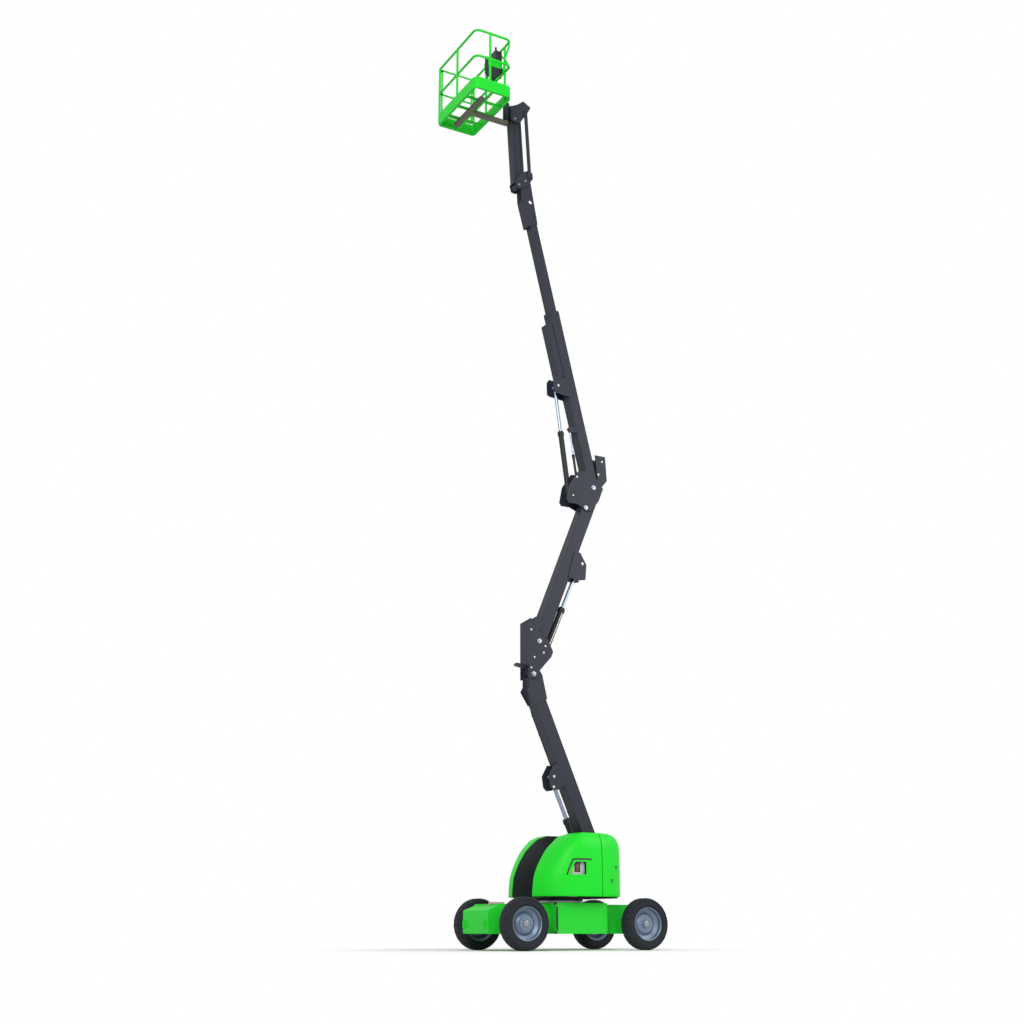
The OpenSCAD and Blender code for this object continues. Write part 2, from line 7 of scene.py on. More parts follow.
import bpy
import numpy as np
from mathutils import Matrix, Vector


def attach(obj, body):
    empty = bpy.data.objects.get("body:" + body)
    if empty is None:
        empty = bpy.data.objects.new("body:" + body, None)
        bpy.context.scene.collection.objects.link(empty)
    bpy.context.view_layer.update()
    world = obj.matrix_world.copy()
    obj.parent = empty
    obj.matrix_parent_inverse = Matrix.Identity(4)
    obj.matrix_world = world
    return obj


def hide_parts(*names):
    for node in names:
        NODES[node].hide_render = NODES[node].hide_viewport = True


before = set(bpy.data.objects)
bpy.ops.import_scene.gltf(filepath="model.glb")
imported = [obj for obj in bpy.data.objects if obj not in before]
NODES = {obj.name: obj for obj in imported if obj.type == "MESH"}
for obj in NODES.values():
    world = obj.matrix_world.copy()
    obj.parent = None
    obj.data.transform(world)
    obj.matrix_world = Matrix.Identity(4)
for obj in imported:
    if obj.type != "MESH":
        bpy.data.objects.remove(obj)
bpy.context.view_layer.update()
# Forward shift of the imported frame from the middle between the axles
MID_X = 0.251
# Wheel centres in millimetres: distance from the middle, from the centre plane, and height
WHEEL_X, WHEEL_Y, WHEEL_Z = 987, 671.5, 355
# Centre lines of the boxes in the boom plane, as (x, z), and each section's width and depth
LOWER, SECOND = ((-600, 1260), (430, 3640)), ((370, 4430), (-590, 6770))
MAIN, JIB = ((-640, 6930), (75, 9830)), ((722, 11966), (793, 13094))
BOOM_SIZE, MAIN_SIZE, JIB_SIZE = (0.19, 0.2), (0.196, 0.165), (0.12, 0.14)
# Half widths over the plates of each knuckle, over the booms' lugs and over the jib's plates
UPRIGHT_Y, MID_Y, TOP_Y, LUG_Y, MAIN_LUG_Y, NOSE_Y = 121, 129, 118, 106, 109, 102


# Materials

def linear(code):
    """An sRGB hex colour as linear RGBA."""
    parts = [int(code[i:i + 2], 16) / 255 for i in (1, 3, 5)]
    return [c / 12.92 if c < 0.04045 else ((c + 0.055) / 1.055) ** 2.4 for c in parts] + [1.0]


def add(tree, kind, links=None, **settings):
    """Adds one node of that kind, sets its sockets and properties, and links its inputs."""
    node = tree.nodes.new(kind)
    for key, value in settings.items():
        if key in node.inputs:
            node.inputs[key].default_value = value
        else:
            setattr(node, key, value)
    for key, source in (links or {}).items():
        tree.links.new(source, node.inputs[key])
    return node


def finish(name, tint, shade, size_mm, rough=0.4, spread=0.1, metal=0.0, bump=0.1,
           grime=None, streak=1.0, spec=0.35):
    """A surface whose colour drifts from tint to shade over patches size_mm across.

    Finer noise raises the surface for bump and varies its roughness by spread.
    Grime is a colour that gathers in patches near the ground.
    """
    material = bpy.data.materials.new(name)
    material.use_nodes = True
    tree = material.node_tree
    shader = tree.nodes["Principled BSDF"]
    place = add(tree, "ShaderNodeTexCoord")
    lie = add(tree, "ShaderNodeMapping", {"Vector": place.outputs["Object"]},
              Scale=(1, 1, 1 / streak))
    patches = add(tree, "ShaderNodeTexNoise", {"Vector": lie.outputs["Vector"]},
                  Scale=1000 / size_mm, Detail=5.0, Roughness=0.6)
    blend = add(tree, "ShaderNodeMix", {"Factor": patches.outputs["Fac"]}, data_type="RGBA")
    blend.inputs[6].default_value = linear(tint)
    blend.inputs[7].default_value = linear(shade)
    colour = blend.outputs[2]
    if grime:
        height = add(tree, "ShaderNodeSeparateXYZ", {"Vector": place.outputs["Object"]})
        low = add(tree, "ShaderNodeMapRange", {"Value": height.outputs["Z"]})
        for key, value in (("From Min", 0.0), ("From Max", 0.9), ("To Min", 0.4), ("To Max", 0.0)):
            low.inputs[key].default_value = value
        broken = add(tree, "ShaderNodeMath", {0: low.outputs["Result"], 1: patches.outputs["Fac"]},
                     operation="MULTIPLY")
        dust = add(tree, "ShaderNodeMix", {"Factor": broken.outputs[0]}, data_type="RGBA")
        tree.links.new(colour, dust.inputs[6])
        dust.inputs[7].default_value = linear(grime)
        colour = dust.outputs[2]
    tree.links.new(colour, shader.inputs["Base Color"])
    grain = add(tree, "ShaderNodeTexNoise", {"Vector": place.outputs["Object"]},
                Scale=1000 / (size_mm * 0.12), Detail=3.0)
    gloss = add(tree, "ShaderNodeMapRange", {"Value": grain.outputs["Fac"]})
    gloss.inputs["To Min"].default_value = rough - spread
    gloss.inputs["To Max"].default_value = rough + spread
    tree.links.new(gloss.outputs["Result"], shader.inputs["Roughness"])
    relief = add(tree, "ShaderNodeBump", {"Height": grain.outputs["Fac"]}, Strength=bump,
                 Distance=0.002)
    tree.links.new(relief.outputs["Normal"], shader.inputs["Normal"])
    shader.inputs["Metallic"].default_value = metal
    shader.inputs["Specular IOR Level"].default_value = spec
    return material


# Sprayed gelcoat on fibreglass hoods: bright clear green, soft highlights, slight ripple
gelcoat = finish("green_gelcoat", "#1bdc2c", "#13cc24", 320, 0.45, 0.04, bump=0.02, spec=0.2)
# Baked enamel on steel: the same green, less wet, dusty low down
enamel = finish("green_enamel", "#1bd42d", "#14c525", 220, 0.5, 0.06, bump=0.06, spec=0.25,
                grime="#3fa04c")
# Two-pack slate paint on the welded booms: blue grey, satin, faint vertical streaks
slate = finish("slate_boom_paint", "#2b2f39", "#242831", 260, 0.5, 0.06, bump=0.08, streak=4,
               spec=0.22)
# Darker satin chassis black on axles, barrels and housings
black = finish("satin_black_paint", "#22252a", "#1a1c20", 160, 0.5, 0.06, bump=0.1, spec=0.25,
               grime="#3c3b39")
# Vacuum-formed ABS of the channel: near black with a fine moulded grain. The same near black also
# stands as painted shade in the hood's groove, the side slots and the counterweight's holes
moulded = finish("grained_black_abs_and_painted_shade", "#2a2d2f", "#222426", 60, 0.5, 0.06, bump=0.25)
# Vulcanised rubber: matt charcoal, paler with dust in the tread
rubber = finish("tyre_rubber", "#24292e", "#1c2024", 90, 0.8, 0.06, bump=0.3, spec=0.2,
                grime="#3b3d3f")
# Silver wheel lacquer over a pressed steel disc: cool grey with soft brake dust
rim = finish("silver_wheel_lacquer", "#7c8ca0", "#627286", 140, 0.4, 0.08, metal=0.45, bump=0.06,
             grime="#5f666e")
# Hard chrome on the rods: mirror bright, ground lengthwise
chrome = finish("ground_hard_chrome", "#8f9bb0", "#7d889b", 40, 0.22, 0.04, metal=1.0, bump=0.03)
# Machined bearing steel: mid grey metal with a brushed sheen
steel = finish("machined_steel", "#9aa0a8", "#80868e", 50, 0.34, 0.08, metal=0.9, bump=0.1)
# Zinc plated bolts: pale and slightly yellow, soft metal glints
zinc = finish("zinc_plate", "#c9c8bf", "#b2b0a4", 12, 0.32, 0.08, metal=0.85, bump=0.1)
# Primer-like brown green under the basket floor
support_paint = finish("olive_beam_paint", "#5b5d4c", "#4b4d40", 150, 0.5, 0.08, bump=0.15)
# Powder-coated panel of the ground controls: light grey, fine leather grain
panel = finish("grey_powder_coat", "#c9ccd2", "#babec5", 30, 0.5, 0.05, bump=0.2)
# Glossy hose cover, black rubber over braid
hose_rubber = finish("hydraulic_hose_rubber", "#26282b", "#1b1c1e", 20, 0.5, 0.06, bump=0.3)
# Yellow moulded nylon of knobs and of the cap beside the lower rod
yellow = finish("yellow_nylon", "#e7c21e", "#d1ab16", 25, 0.45, 0.05, bump=0.08)
# Red mushroom button, polished thermoplastic
red = finish("red_button_plastic", "#c8241d", "#ab1a15", 25, 0.3, 0.04, bump=0.03)
# Faded pink blank plate on the towing beam, printed film on aluminium
pink_plate = finish("faded_pink_film", "#c99aa8", "#b98595", 45, 0.45, 0.06, bump=0.05)
# Brown phenolic board of the ground controls: dull, faint paper grain
phenolic = finish("brown_phenolic_board", "#6b5638", "#57452c", 40, 0.55, 0.05, bump=0.12)

PAINTS = {
    enamel: "chassis hood_left hood_right counterweight basket_rails basket_gate "
            "basket_floor",
    slate: "turntable lower_boom mid_knuckle second_boom top_knuckle main_boom boom_cover "
           "inner_boom jib_base jib_arm jib_tie jib_head",
    black: "front_axle rear_axle knuckle_left knuckle_right engine_block lower_cylinder "
           "second_cylinder main_cylinder level_cylinder",
    moulded: "channel_liner platform_controls",
    rubber: "tyre_front_left tyre_front_right tyre_rear_left tyre_rear_right",
    rim: "rim_front_left rim_front_right rim_rear_left rim_rear_right",
    chrome: "lower_rod second_rod main_rod level_rod",
    steel: "slew_ring",
    panel: "ground_controls",
    support_paint: "basket_support",
}
for material, names in PAINTS.items():
    for name in names.split():
        NODES[name].data.materials.clear()
        NODES[name].data.materials.append(material)


# Surfaces

def piece(name, verts, faces, material, body, slot=None, smooth=35):
    """One mesh object from arrays of points and faces, riding on its body."""
    mesh = bpy.data.meshes.new(name)
    mesh.from_pydata(np.asarray(verts, float).tolist(), [], [list(map(int, f)) for f in faces])
    mesh.validate()
    mesh.update()
    obj = bpy.data.objects.new(name, mesh)
    bpy.context.collection.objects.link(obj)
    mesh.materials.append(material)
    if smooth:
        mesh.shade_smooth()
        mesh.set_sharp_from_angle(angle=math.radians(smooth))
    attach(obj, body)
    return obj


def grid(rows, close_u=False, caps=False, flip=False):
    """Faces over a grid of points rows[v, u]; close_u joins the last column to the first."""
    nv, nu = rows.shape[:2]
    index = np.arange(nv * nu).reshape(nv, nu)
    if close_u:
        index = np.hstack([index, index[:, :1]])
    a, b, c, d = index[:-1, :-1], index[:-1, 1:], index[1:, 1:], index[1:, :-1]
    faces = np.stack([a, b, c, d], -1).reshape(-1, 4)
    faces = [f[::-1] if flip else f for f in faces]
    if caps:
        ring = np.arange(nu)
        low, high = ring[::-1], ring + (nv - 1) * nu
        faces += [high[::-1], low[::-1]] if flip else [low, high]
    return rows.reshape(-1, 3), faces


def join(parts):
    """Several (points, faces) as one."""
    verts, faces, base = [], [], 0
    for v, f in parts:
        verts.append(np.asarray(v, float))
        faces += [[i + base for i in face] for face in f]
        base += len(v)
    return np.vstack(verts), faces


def axes_for(direction):
    """Two unit vectors square to direction, and direction itself at unit length."""
    d = np.asarray(direction, float)
    d = d / np.linalg.norm(d)
    side = np.cross(d, [0, 0, 1.0] if abs(d[2]) < 0.9 else [0, 1.0, 0])
    side = side / np.linalg.norm(side)
    return side, np.cross(d, side), d


def turned(profile, at, direction, sides=24, square=0.0):
    """A profile of (distance, radius) pairs turned about direction from the point at.

    The radius is divided by 1 - square * (1 - cos(6 a)) / 2, which gives a hexagon's flats.
    """
    side, up, d = axes_for(direction)
    a = np.linspace(0, 2 * np.pi, sides, endpoint=False)
    wave = 1 - square * (1 - np.cos(6 * a)) / 2
    ring = np.cos(a)[:, None] * side + np.sin(a)[:, None] * up
    rows = np.array([np.asarray(at) + s * d + r * wave[:, None] * ring for s, r in profile])
    return grid(rows, close_u=True, caps=True)


def swept(path, radius, sides=12, flat=1.0):
    """A round section of that radius carried along a path of points, squeezed by flat."""
    path = np.asarray(path, float)
    way = np.gradient(path, axis=0)
    way /= np.linalg.norm(way, axis=1)[:, None]
    side = np.cross(way, [0.02, 1.0, 0.03])
    side /= np.linalg.norm(side, axis=1)[:, None]
    up = np.cross(way, side)
    a = np.linspace(0, 2 * np.pi, sides, endpoint=False)
    rows = (path[:, None] + radius * (np.cos(a)[None, :, None] * side[:, None]
            + flat * np.sin(a)[None, :, None] * up[:, None]))
    return grid(rows, close_u=True, caps=True)


def smooth_path(points, steps=12):
    """A path through the points, each stretch blended by Catmull and Rom's cubic."""
    p = np.asarray(points, float)
    p = np.vstack([2 * p[0] - p[1], p, 2 * p[-1] - p[-2]])
    t = np.linspace(0, 1, steps, endpoint=False)[:, None]
    runs = [0.5 * (2 * b + (c - a) * t + (2 * a - 5 * b + 4 * c - d) * t ** 2
                   + (3 * b - a - 3 * c + d) * t ** 3)
            for a, b, c, d in zip(p[:-3], p[1:-2], p[2:-1], p[3:])]
    return np.vstack(runs + [p[-2:-1]])


def slab(centre, size, bevel=0.004, lean=0.0):
    """A box with bevelled corners, six rounded rings stacked upwards, leaning about Y."""
    sx, sy, sz = (s / 2 for s in size)
    rings = [(-sz, bevel), (-sz + bevel * 0.3, bevel * 0.3), (-sz + bevel, 0.0),
             (sz - bevel, 0.0), (sz - bevel * 0.3, bevel * 0.3), (sz, bevel)]
    a = np.linspace(0, 2 * np.pi, 24, endpoint=False) + np.pi / 24
    rows = []
    for z, inset in rings:
        x = np.clip(np.cos(a) * 1.45, -1, 1) * (sx - inset)
        y = np.clip(np.sin(a) * 1.45, -1, 1) * (sy - inset)
        rows.append(np.stack([x, y, np.full_like(a, z)], -1))
    rows = np.array(rows)
    c, s = math.cos(lean), math.sin(lean)
    tilt = np.array([[c, 0, s], [0, 1, 0], [-s, 0, c]])
    rows = rows @ tilt.T + np.asarray(centre)
    return grid(rows, close_u=True, caps=True)


def here(x, y, z):
    """A place given from the middle between the axles, in millimetres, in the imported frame."""
    return np.array([x / 1000 - MID_X, y / 1000, z / 1000])


# Hood skins
# Each row is height, front reach, rear reach and half width, as the solid's own rows
ROWS = np.array([[724, 640, 766, 714], [750, 654, 786, 736], [990, 626, 790, 740],
                 [1180, 546, 790, 740], [1360, 428, 790, 734], [1460, 326, 780, 720],
                 [1550, 210, 730, 684], [1600, 50, 640, 630]]) / 1000.0
POWER = 3.0
HOOD_TOP = 1.6
COLUMNS = 54
HOOD_WALL = 0.012
# Half width of the boom channel, the hoods' seam, and half the gap at that seam
CHANNEL = 0.292
SEAM = -0.25
SEAM_GAP = 0.007


def body_rows():
    """Rows of the hood body, eight to each stretch, along a cubic through its outline."""
    return smooth_path(ROWS, 8)


def skin(side, angle_start, angle_end):
    """Outer surface between two planes: x = reach cos(a)^(2/p), y = half sin(a)^(2/p) by row.

    The planes are x = seam or y = channel, met exactly by solving each row for its angle.
    Three closing rows fold the top inwards to the channel.
    """
    grid_rows = []
    for z, front, rear, half in body_rows():
        a = np.linspace(angle_start(rear, half), angle_end(rear, half), COLUMNS)
        c, s = np.cos(a), np.sin(a)
        reach = np.where(c > 0, front, rear)
        x = reach * np.sign(c) * np.abs(c) ** (2 / POWER)
        y = half * np.abs(s) ** (2 / POWER)
        grid_rows.append(np.stack([x, y, np.full_like(x, min(z, HOOD_TOP) - 0.001)], -1))
    top = grid_rows[-1]
    for t in (0.3, 0.65, 1.0):
        lid = top.copy()
        lid[:, 1] = top[:, 1] * (1 - t) + CHANNEL * t
        grid_rows.append(lid)
    rows = np.array(grid_rows)
    rows[..., 0] -= MID_X
    rows[..., 1] *= side
    return rows


def at_channel_front(rear, half):
    """Angle where the row meets the channel plane in front."""
    return math.asin(min(1, CHANNEL / half) ** (POWER / 2))


def at_channel_rear(rear, half):
    """Angle where the row meets the channel plane behind."""
    return math.pi - math.asin(min(1, CHANNEL / half) ** (POWER / 2))


def at_seam(rear, half):
    """Angle where the row meets the upright seam, kept a little short of it."""
    return math.pi - math.acos(min(1, (-SEAM - SEAM_GAP) / rear) ** (POWER / 2))


def past_seam(rear, half):
    """The same seam seen from the counterweight's side."""
    return math.pi - math.acos(min(1, (-SEAM + SEAM_GAP) / rear) ** (POWER / 2))


def thick(obj, depth):
    """Gives a one-sided skin its wall, inwards."""
    wall = obj.modifiers.new("wall", "SOLIDIFY")
    wall.thickness = depth
    wall.offset = -1
    wall.use_even_offset = True
    return obj


def cut(obj, cutter_parts):
    """Takes closed shapes out of obj and keeps the result as its mesh."""
    verts, faces = join(cutter_parts)
    mesh = bpy.data.meshes.new("cutter")
    mesh.from_pydata(verts.tolist(), [], [list(map(int, f)) for f in faces])
    tool = bpy.data.objects.new("cutter", mesh)
    bpy.context.collection.objects.link(tool)
    step = obj.modifiers.new("cut", "BOOLEAN")
    step.operation, step.solver, step.object = "DIFFERENCE", "EXACT", tool
    bpy.context.view_layer.update()
    graph = bpy.context.evaluated_depsgraph_get()
    made = bpy.data.meshes.new_from_object(obj.evaluated_get(graph))
    obj.modifiers.clear()
    obj.data = made
    bpy.data.objects.remove(tool)
    made.shade_smooth()
    made.set_sharp_from_angle(angle=math.radians(40))
    return obj


WINDOW = [(20, 1016), (258, 1016), (214, 1158), (184, 1190), (20, 1190)]


def window_prism():
    """A closed prism through the left hood's side, on the window's outline."""
    ring = np.array(WINDOW[::-1], float)
    rows = np.array([[here(x, y, z) for x, z in ring] for y in (560, 800)])
    return grid(rows, close_u=True, caps=True)


def hood(side, name):
    """One hood: its skin between channel and seam, with the wall and the window's opening."""
    rows = skin(side, at_channel_front, at_seam)
    node = name.replace("_skin", "")
    obj = piece(name, *grid(rows, flip=side < 0), gelcoat, node, "paint_green", 40)
    thick(obj, HOOD_WALL)
    if side > 0:
        cut(obj, [window_prism()])
    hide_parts(node)


hood(1, "hood_left_skin")
hood(-1, "hood_right_skin")


def weight():
    """The counterweight's two halves: outer skin, channel wall and the wall at the seam."""
    parts = []
    for side in (1, -1):
        rows = skin(side, past_seam, at_channel_rear)
        parts.append(grid(rows, flip=side < 0))
        base = rows[:-3]
        for column, turn in ((0, side > 0), (-1, side < 0)):
            edge = base[:, column]
            inner = edge.copy()
            inner[:, 1] = side * CHANNEL
            if column == -1:
                inner[:, 0] = SEAM - SEAM_GAP - MID_X
            wall = np.stack([edge, inner], 1)
            parts.append(grid(wall, flip=turn))
    obj = piece("counterweight_skin", *join(parts), gelcoat, "turntable", "paint_green", 40)
    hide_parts("counterweight")


weight()


# Small hardware

def bolt(at, direction, d=0.03, h=0.012):
    """A hex head over a washer with a rounded crown."""
    washer = [(0, d * 0.72), (0.003, d * 0.72), (0.003, d * 0.5)]
    head = [(0.003, d * 0.58), (h * 0.8, d * 0.58), (h, d * 0.45)]
    return [turned(washer, at, direction, 24), turned(head, at, direction, 24, 0.13)]


def pin_cap(at, direction, d=0.05, rise=1.0):
    """A pin's end: collar, chamfer and a shallow centre dimple."""
    profile = [(0, d * 0.75), (0.005, d * 0.75), (0.007, d * 0.7), (0.007, d * 0.52),
               (0.011, d * 0.48), (0.012, d * 0.42), (0.012, d * 0.12), (0.009, d * 0.05)]
    profile = [(t * rise, r) for t, r in profile]
    return [turned(profile, at, direction, 28)]


def both_sides(x, z, y, make, **sizes):
    """The same fitting at the left and the right of the boom plane."""
    parts = []
    for s in (1, -1):
        parts += make(here(x, s * y, z), (0, s, 0), **sizes)
    return parts


def fittings(name, body, places, material, make, slot, **sizes):
    """One piece of several fittings, each given as x, z and half width."""
    parts = []
    for x, z, y in places:
        parts += both_sides(x, z, y, make, **sizes)
    return piece(name, *join(parts), material, body, slot)


fittings("turntable_pin_caps", "turntable", [(-600, 1260, UPRIGHT_Y)], steel, pin_cap,
         "bearing_steel", d=0.046)
fittings("mid_knuckle_pin_caps", "mid_knuckle", [(500, 3900, MID_Y), (400, 4400, MID_Y)], steel,
         pin_cap, "bearing_steel", d=0.05)
fittings("mid_knuckle_bolts", "mid_knuckle",
         [(x, z, MID_Y) for x, z in ((330, 4230), (490, 4150), (545, 4560), (545, 3990),
                                     (300, 4330))], zinc, bolt, "bearing_steel", d=0.022)
fittings("top_knuckle_pin_caps", "top_knuckle", [(-460, 6600, TOP_Y), (-610, 6950, TOP_Y)], steel,
         pin_cap, "bearing_steel", d=0.05)
fittings("top_knuckle_bolts", "top_knuckle",
         [(x, z, TOP_Y) for x, z in ((-225, 6766), (-700, 7180), (-770, 7400), (-300, 7080))],
         zinc, bolt, "bearing_steel", d=0.022)
fittings("lower_boom_bolts", "lower_boom", [(154, 2420, LUG_Y), (160, 2270, LUG_Y)], zinc, bolt,
         "bearing_steel", d=0.03)
fittings("second_boom_bolts", "second_boom", [(-385, 5690, LUG_Y)], zinc, bolt, "bearing_steel",
         d=0.03)
fittings("main_boom_bolts", "main_boom", [(18, 8556, MAIN_LUG_Y)], zinc, bolt,
         "bearing_steel", d=0.03)
fittings("nose_pin_caps", "jib_base", [(600, 12030, NOSE_Y), (720, 11930, NOSE_Y)], steel, pin_cap,
         "bearing_steel", d=0.026, rise=0.16)
fittings("jib_head_pin_caps", "jib_head", [(795, 13130, NOSE_Y)], steel, pin_cap,
         "bearing_steel", d=0.026, rise=0.16)


def weld_beads(name, body, line, size, radius=0.0045):
    """Rounded weld beads along a boom's four long edges, from one end to the other."""
    width, depth = size
    a, b = (here(x, 0, z) for x, z in line)
    way = (b - a) / np.linalg.norm(b - a)
    out = np.array([way[2], 0, -way[0]])
    parts = []
    for sx in (1, -1):
        for sy in (1, -1):
            corner = out * sx * (depth / 2 - radius * 0.4)
            corner = corner + np.array([0, sy * (width / 2 - radius * 0.4), 0])
            t = np.linspace(0.012, 0.988, 30)[:, None]
            parts.append(swept(a + corner + (b - a) * t, radius, 8))
    return piece(name, *join(parts), slate, body, "paint_slate")


weld_beads("lower_boom_welds", "lower_boom", LOWER, BOOM_SIZE)
weld_beads("second_boom_welds", "second_boom", SECOND, BOOM_SIZE)
weld_beads("main_boom_welds", "main_boom", MAIN, MAIN_SIZE)
weld_beads("jib_arm_welds", "jib_arm", JIB, JIB_SIZE)


def band(name, body, line, size, at, tall, thickness):
    """A raised collar round a boom at a share of its length: a rounded ring of four walls."""
    width, depth = size
    a, b = (here(x, 0, z) for x, z in line)
    way = (b - a) / np.linalg.norm(b - a)
    out = np.array([way[2], 0, -way[0]])
    angle = np.linspace(0, 2 * np.pi, 32, endpoint=False) + np.pi / 32
    x = np.clip(np.cos(angle) * 1.45, -1, 1)
    y = np.clip(np.sin(angle) * 1.45, -1, 1)
    rows = []
    for s, grow in ((-tall / 2, 0), (-tall / 2, thickness), (tall / 2, thickness), (tall / 2, 0)):
        rows.append(a + (b - a) * at + way * s + np.outer(x * (depth / 2 + grow), out)
                    + np.outer(y * (width / 2 + grow), [0, 1, 0]))
    return piece(name, *grid(np.array(rows), close_u=True), slate, body, "paint_slate", 30)


band("main_boom_mouth", "main_boom", MAIN, MAIN_SIZE, 0.985, 0.05, 0.006)
band("main_boom_stop", "main_boom", MAIN, MAIN_SIZE, 0.08, 0.03, 0.005)


def glands(name, body, pins, length, d):
    """Gland nut and wiper at a barrel's mouth: stepped rings turned about its axis."""
    a, b = (here(x, 0, z) for x, z in pins)
    way = (b - a) / np.linalg.norm(b - a)
    mouth = a + way * length
    ring = [(-0.07, d / 2 + 0.0055), (-0.066, d / 2 + 0.009), (-0.02, d / 2 + 0.009),
            (-0.016, d / 2 + 0.005), (0.002, d / 2 + 0.003), (0.008, d / 2 - 0.01)]
    port = turned([(0, 0.014), (0.03, 0.014), (0.034, 0.011)],
                  a + way * 0.1 + np.array([0, d * 0.4, 0]), (0, 1, 0), 16)
    return piece(name, *join([turned(ring, mouth, way, 32), port]), black, body, "paint_black")


glands("lower_gland", "lower_cylinder", [(-500, 950), (154, 2420)], 0.96, 0.104)
glands("second_gland", "second_cylinder", [(250, 4225), (-385, 5690)], 0.812, 0.096)
glands("main_gland", "main_cylinder", [(-225, 6766), (18, 8556)], 1.07, 0.084)


def held_hose(name, body, points, d, clips=(), material=hose_rubber, slot="moulded_black"):
    """A hose clipped to what carries it: a round section along a smooth path, with clips."""
    path = smooth_path([here(*p) for p in points], 14)
    parts = [swept(path, d / 2, 12)]
    for share in clips:
        i = int(share * (len(path) - 2))
        way = path[i + 1] - path[i]
        ring = [(-0.012, d * 0.5), (-0.012, d * 0.72), (0.012, d * 0.72), (0.012, d * 0.5)]
        parts.append(turned(ring, path[i], way, 16))
    return piece(name, *join(parts), material, body, slot)


held_hose("lower_boom_hose", "lower_boom", [(-440, -88, 1390), (-430, -104, 1420),
          (-100, -104, 2180), (240, -104, 2960), (400, -104, 3330), (420, -90, 3380)], 0.018,
          (0.2, 0.35, 0.5, 0.65, 0.8))
held_hose("second_boom_hose", "second_boom", [(270, -88, 4670), (255, -104, 4706),
          (0, -104, 5328), (-250, -104, 5938), (-440, -104, 6404), (-450, -90, 6420)], 0.018,
          (0.2, 0.35, 0.5, 0.65, 0.8))
held_hose("main_boom_hose", "main_boom", [(-482, -88, 7620), (-474, -107, 7650),
          (-300, -107, 8310), (-60, -107, 9280), (40, -107, 9690), (44, -92, 9710)], 0.018,
          (0.2, 0.35, 0.5, 0.65, 0.8))
held_hose("second_cylinder_pipe", "second_cylinder", [(206, 40, 4326), (190, 62, 4374),
          (106, 66, 4560), (-20, 66, 4850), (-40, 44, 4896)], 0.014, (0.3, 0.7), zinc,
          "bearing_steel")
held_hose("main_cylinder_pipe", "main_cylinder", [(-214, -36, 6850), (-212, -54, 6890),
          (-160, -56, 7250), (-106, -56, 7640), (-102, -38, 7690)], 0.012, (0.3, 0.7), zinc,
          "bearing_steel")


# Chassis

def place(name, body, boxes, material, slot, bevel=0.004):
    """Bevelled blocks given by centre and size in millimetres."""
    parts = [slab(here(*c), np.array(s) / 1000, bevel, *more) for c, s, *more in boxes]
    return piece(name, *join(parts), material, body, slot, 30)


place("blank_beam_plate", "chassis", [((1105, 100, 612), (250, 6, 74))],
      pink_plate, "control_grey", 0.0015)
place("chassis_side_ribs", "chassis", [((-20, s * 551, 632), (760, 10, 14)) for s in (1, -1)]
      + [((-20, s * 551, 230), (760, 10, 14)) for s in (1, -1)]
      + [((-428, s * 551, 430), (14, 10, 400)) for s in (1, -1)], enamel, "paint_green", 0.003)
fittings("chassis_bolts", "chassis", [(x, z, 550) for x in (-380, 340) for z in (270, 590)],
         zinc, bolt, "bearing_steel", d=0.012)


def wheel_nuts(name, body, x, s, hub, count):
    """A ring of wheel nuts on the disc with a domed centre cap."""
    parts = []
    y = s * (WHEEL_Y + hub)
    for i in range(count):
        a = 2 * math.pi * i / count + 0.2
        at = here(x + 78 * math.cos(a), y, WHEEL_Z + 78 * math.sin(a))
        parts += bolt(at, (0, s, 0), d=0.016, h=0.01)
    dome = [(0, 0.046), (0.004, 0.046), (0.01, 0.042), (0.013, 0.03), (0.014, 0.012)]
    parts.append(turned(dome, here(x, y + s * 14, WHEEL_Z), (0, s, 0), 32))
    return piece(name, *join(parts), steel, body, "bearing_steel")


# Each wheel's place along and across the chassis, and how far its disc stands out
WHEELS = {"front_left": (WHEEL_X, 1, 34), "front_right": (WHEEL_X, -1, 34),
          "rear_left": (-WHEEL_X, 1, 26), "rear_right": (-WHEEL_X, -1, 26)}
for label, (x, s, hub) in WHEELS.items():
    wheel_nuts("wheel_nuts_" + label, "wheel_" + label, x, s, hub, 9)


def sidewall(name, body, x, s):
    """Two raised rings on both sides of a tyre, over the plain sidewall."""
    parts = []
    for face in (1, -1):
        y = s * WHEEL_Y + face * 102
        for r in (0.262, 0.318):
            ring = np.linspace(0, 2 * np.pi, 73)
            path = here(x, y, WHEEL_Z) + r * np.stack([np.cos(ring), 0 * ring, np.sin(ring)], -1)
            parts.append(swept(path, 0.0045, 6))
    return piece(name, *join(parts), rubber, body, "tyre_rubber")


for label, (x, s, _) in WHEELS.items():
    sidewall("tyre_rings_" + label, "wheel_" + label, x, s)


# Turntable

def on_hood(x, z, out=0.0):
    """A place on the left hood's surface at x and z, moved out by that many millimetres."""
    rows = body_rows()
    front, rear, half = (np.interp(z / 1000, rows[:, 0], rows[:, i]) for i in (1, 2, 3))
    reach = front if x > 0 else rear
    c = min(0.999, abs(x / 1000 / reach)) ** (POWER / 2)
    y = half * math.sin(math.acos(c)) ** (2 / POWER)
    return here(x, y * 1000 + out, z)


def surround():
    """A flattened bead of the hood's own green that frames the window."""
    ring = [(8, 1004), (140, 1004), (272, 1004), (256, 1086), (226, 1166), (190, 1202),
            (90, 1202), (8, 1202), (8, 1100)]
    line = smooth_path([(x, 0, z) for x, z in ring + ring[:1]], 8)
    path = np.array([on_hood(x, z, -2.0) for x, _, z in line])
    return piece("window_surround", *swept(path, 0.011, 10, 0.6), gelcoat, "hood_left",
                 "paint_green")


